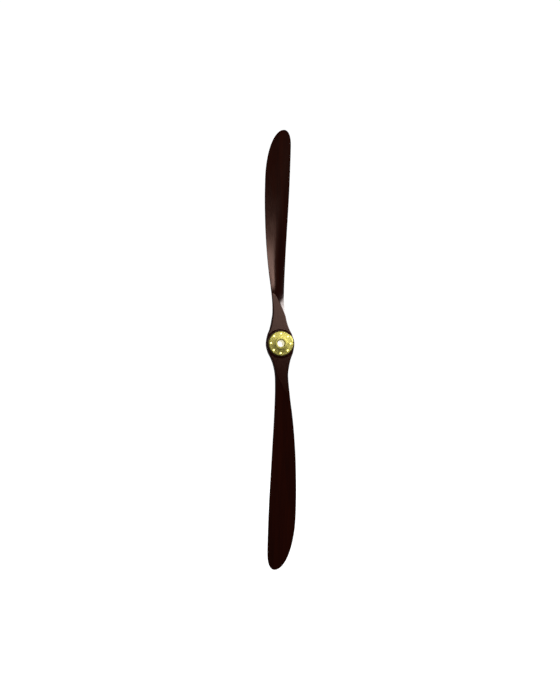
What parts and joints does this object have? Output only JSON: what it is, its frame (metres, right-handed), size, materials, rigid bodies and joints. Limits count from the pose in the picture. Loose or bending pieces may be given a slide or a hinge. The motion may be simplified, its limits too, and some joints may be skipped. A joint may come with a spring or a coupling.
{
  "type": "wooden propeller",
  "caption": "Two-blade carved wooden propeller of glued boards, with a turned brass front plate, a flanged brass barrel and a ring of round-headed through bolts.",
  "frame": {"origin": "centre of the shaft bore in the plane of the barrel's rear seat, where the hub meets the shaft's flange", "axes": "+Z along the upper blade, +Y backwards along the shaft, towards what the propeller is mounted on; the front plate and the cambered faces look towards -Y, and +X is to the right as seen from the front"},
  "size_m": [0.1648, 0.0779, 1.87],
  "materials": {
    "varnished_wood": "gloss varnish over a dark red-brown stain",
    "plate_brass": "turned and polished",
    "barrel_brass": "turned, satin",
    "bolt_brass": "polished heads",
    "washer_brass": "satin",
    "nut_brass": "satin"
  },
  "bodies": {
    "root": {"board_1_front": "varnished_wood", "board_2_inner_front": "varnished_wood", "board_3_middle": "varnished_wood", "board_4_inner_rear": "varnished_wood", "board_5_rear": "varnished_wood", "front_plate": "plate_brass", "hub_barrel": "barrel_brass", "hub_bolt_1": "bolt_brass", "hub_bolt_2": "bolt_brass", "hub_bolt_3": "bolt_brass", "hub_bolt_4": "bolt_brass", "hub_bolt_5": "bolt_brass", "hub_bolt_6": "bolt_brass", "hub_bolt_7": "bolt_brass", "hub_bolt_8": "bolt_brass", "rear_washer_1": "washer_brass", "rear_washer_2": "washer_brass", "rear_washer_3": "washer_brass", "rear_washer_4": "washer_brass", "rear_washer_5": "washer_brass", "rear_washer_6": "washer_brass", "rear_washer_7": "washer_brass", "rear_washer_8": "washer_brass", "hex_nut_1": "nut_brass", "hex_nut_2": "nut_brass", "hex_nut_3": "nut_brass", "hex_nut_4": "nut_brass", "hex_nut_5": "nut_brass", "hex_nut_6": "nut_brass", "hex_nut_7": "nut_brass", "hex_nut_8": "nut_brass"}
  },
  "joints": []
}
